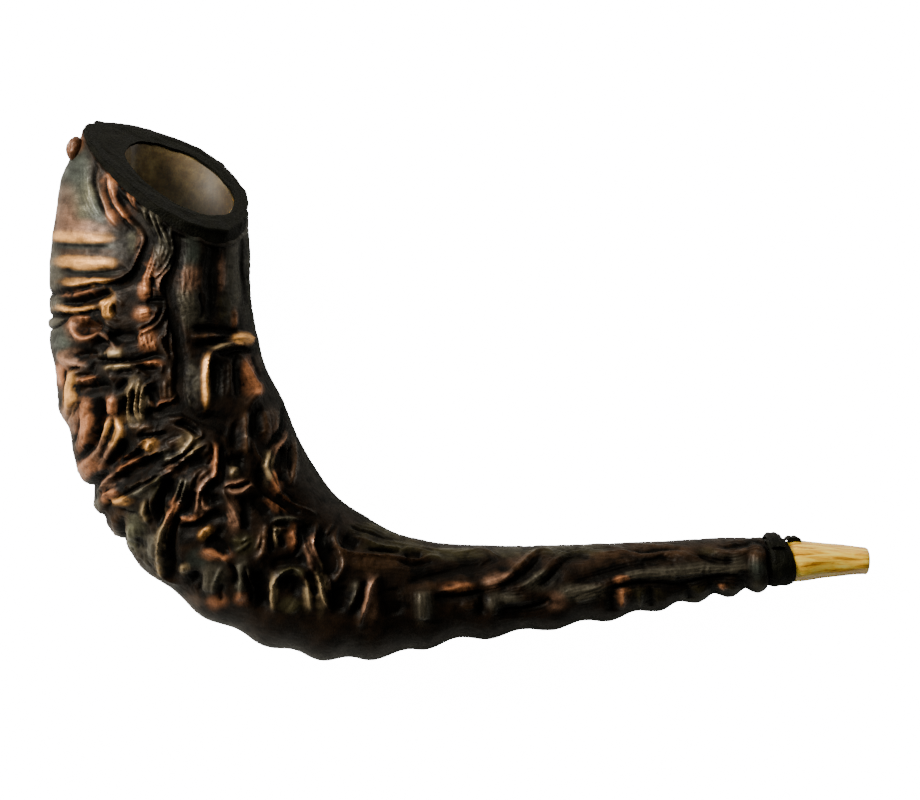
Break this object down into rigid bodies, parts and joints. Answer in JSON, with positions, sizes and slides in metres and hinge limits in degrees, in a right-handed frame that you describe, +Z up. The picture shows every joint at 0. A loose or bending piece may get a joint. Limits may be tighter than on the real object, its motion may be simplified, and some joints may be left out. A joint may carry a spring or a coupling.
{
  "type": "shofar",
  "caption": "Curved horn trumpet with a slanted bell, a bare polished mouthpiece and a cover of wrinkled leather, lying on its side; blown to sound a call.",
  "frame": {"origin": "middle of the part's box, on the surface that it lies on", "axes": "+X towards the mouthpiece, +Y out of the bell, +Z up from the surface"},
  "size_m": [0.3504, 0.2284, 0.0732],
  "materials": {
    "horn": "polished natural horn, amber with brown streaks; rough and pale inside the bell",
    "cover_leather": "wet-formed wrinkled leather, black-brown with copper rubbed on the folds",
    "black_leather": "smooth black leather"
  },
  "bodies": {
    "root": {"ram_horn": "horn", "outer_curve_leather": "cover_leather", "neck_leather": "cover_leather", "inner_curve_upper_leather": "cover_leather", "inner_curve_lower_leather": "cover_leather", "rim_facing": "black_leather", "rim_ear": "cover_leather", "binding_turn": "black_leather", "binding_overlay": "black_leather", "binding_tail": "black_leather"}
  },
  "joints": []
}
